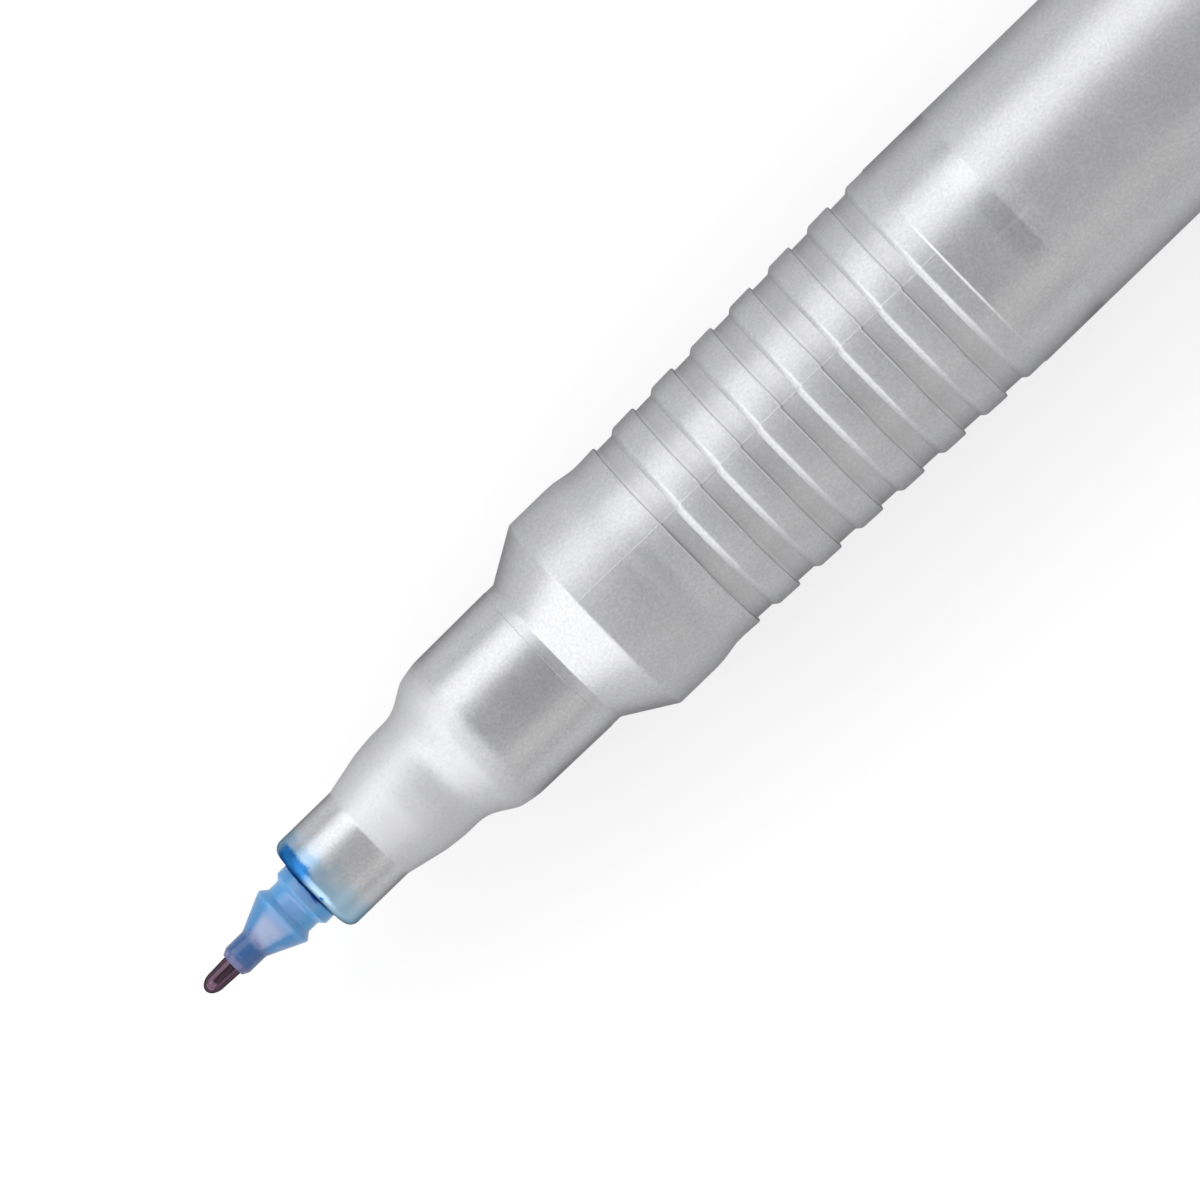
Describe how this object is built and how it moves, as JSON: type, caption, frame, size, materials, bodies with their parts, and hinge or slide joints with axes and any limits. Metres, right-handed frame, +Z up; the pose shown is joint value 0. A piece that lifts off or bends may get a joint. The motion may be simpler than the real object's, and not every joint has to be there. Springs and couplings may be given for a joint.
{
  "type": "permanent marker",
  "caption": "Slim fine-tip permanent marker: pearl-grey barrel with a banded grip, stepped nib holder, fibre ink core, rear plug and a pull-off clip cap posted on the rear end.",
  "frame": {"origin": "on the surface that the marker lies on, below the middle of the marker with its cap posted", "axes": "+X along the marker towards its writing tip, +Z up, and the clip touches the surface on the -Y side"},
  "size_m": [0.152, 0.0124, 0.01],
  "materials": {
    "barrel_pearl": "satin pearl grey, moulded",
    "nib_fibre": "ink-soaked, dark violet",
    "holder_plastic": "translucent plastic tinted by blue ink",
    "core_fibre": "bonded fibre soaked with blue ink",
    "wrap_film": "thin clear film",
    "blue_plastic": "moulded plastic in the ink's blue",
    "liner_plastic": "natural white plastic"
  },
  "bodies": {
    "pen": {"barrel": "barrel_pearl", "nib": "nib_fibre", "nib_holder": "holder_plastic", "ink_core": "core_fibre", "core_wrap": "wrap_film", "rear_plug": "blue_plastic"},
    "cap": {"cap": "blue_plastic", "cap_liner": "liner_plastic"}
  },
  "joints": [
    {"name": "cap_pull", "type": "slide", "parent": "pen", "child": "cap", "axis": [-1, 0, 0], "range_m": [0, 0.02]}
  ]
}
